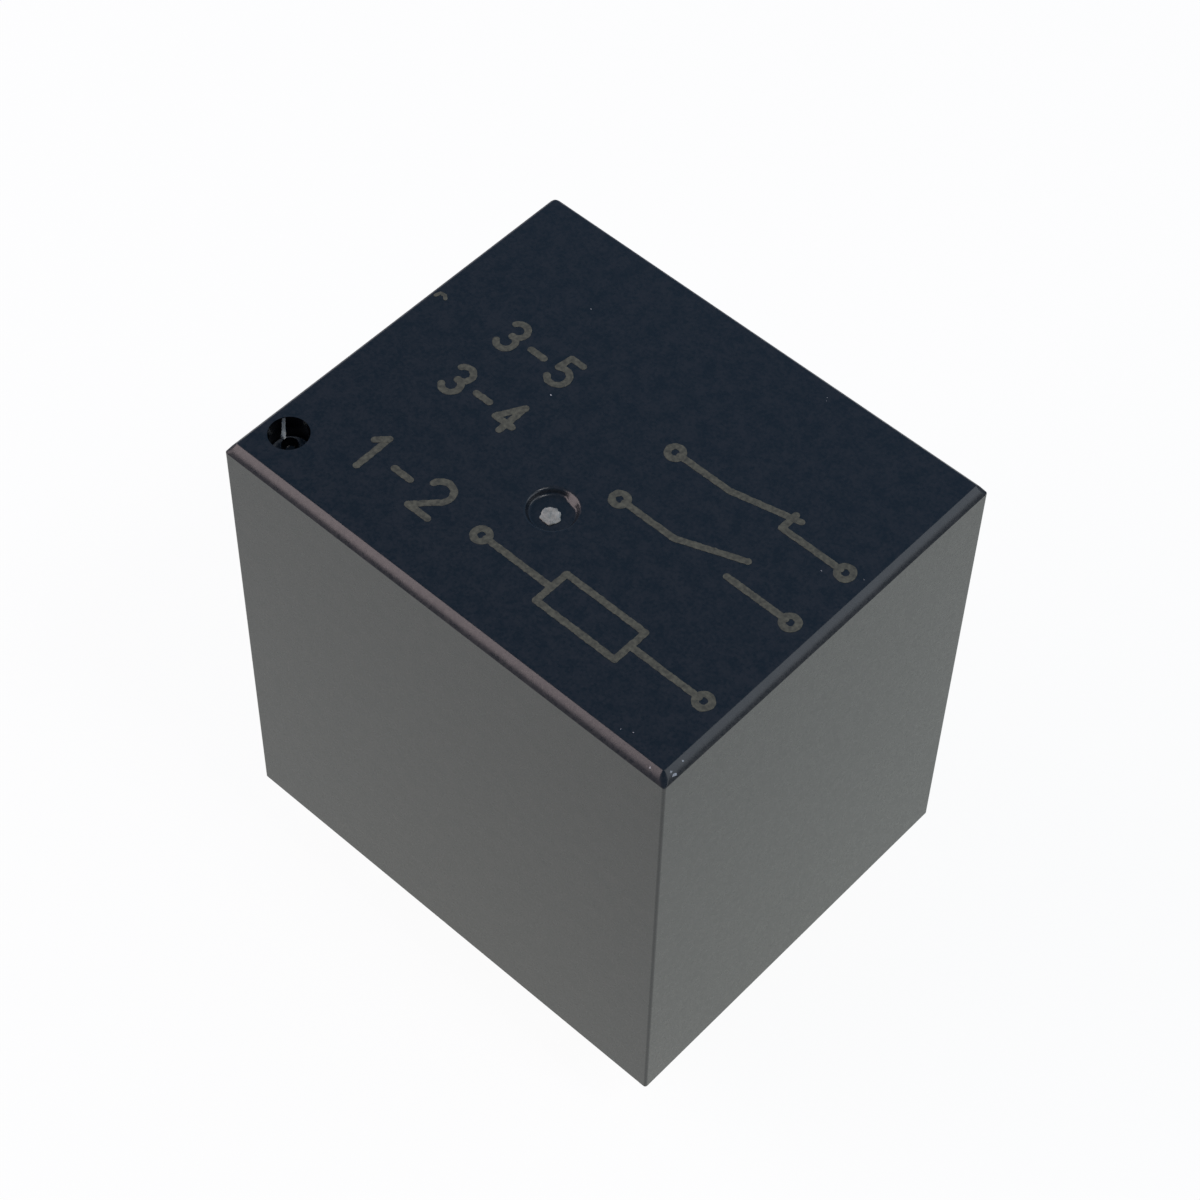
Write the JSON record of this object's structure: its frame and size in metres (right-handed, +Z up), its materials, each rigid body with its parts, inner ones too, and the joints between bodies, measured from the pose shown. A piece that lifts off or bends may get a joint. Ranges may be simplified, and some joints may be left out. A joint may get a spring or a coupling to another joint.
{
  "type": "pcb power relay",
  "caption": "Sealed upright power relay for a circuit board: a black moulded box over a coil, hinged armature and change-over contact, standing on pins.",
  "frame": {"origin": "on the face of the circuit board that the cover's rim stands on, at the middle of the footprint", "axes": "+Z up out of the board, +X along the body from the hinge towards the contacts, +Y across the body"},
  "size_m": [0.019, 0.0156, 0.0227],
  "materials": {
    "cover_plastic": "fine spark-eroded mould texture, black",
    "base_plastic": "moulded, black",
    "resin": "cast epoxy, black",
    "bobbin_plastic": "moulded, off-white",
    "plated_iron": "nickel-plated soft iron",
    "enamelled_copper": "enamelled copper wire",
    "tinned_copper": "tin-plated copper alloy strip",
    "terminal_brass": "rolled brass strip with tin-dipped pins",
    "solder": "tin solder",
    "spring_bronze": "rolled spring bronze",
    "contact_silver": "silver alloy"
  },
  "bodies": {
    "housing": {"cover": "cover_plastic", "base": "base_plastic", "sealing_resin": "resin", "yoke": "plated_iron", "core": "plated_iron", "bobbin": "bobbin_plastic", "coil_winding": "enamelled_copper", "coil_terminal_a": "tinned_copper", "coil_terminal_b": "tinned_copper", "coil_lead_a": "enamelled_copper", "coil_lead_b": "enamelled_copper", "solder_joint_a": "solder", "solder_joint_b": "solder", "com_terminal": "terminal_brass", "no_terminal": "terminal_brass", "no_contact": "contact_silver", "nc_terminal": "terminal_brass", "nc_contact": "contact_silver"},
    "armature": {"armature": "plated_iron", "contact_spring": "spring_bronze", "moving_contact": "contact_silver"}
  },
  "joints": [
    {"name": "armature_rock", "type": "hinge", "parent": "housing", "child": "armature", "pos_m": [-0.0079, 0, 0.0142], "axis": [0, 1, 0], "range_deg": [0, 2.8], "stiffness_Nm_per_rad": 0.01, "springref_deg": -2.86, "deforming": ["contact_spring"]}
  ]
}
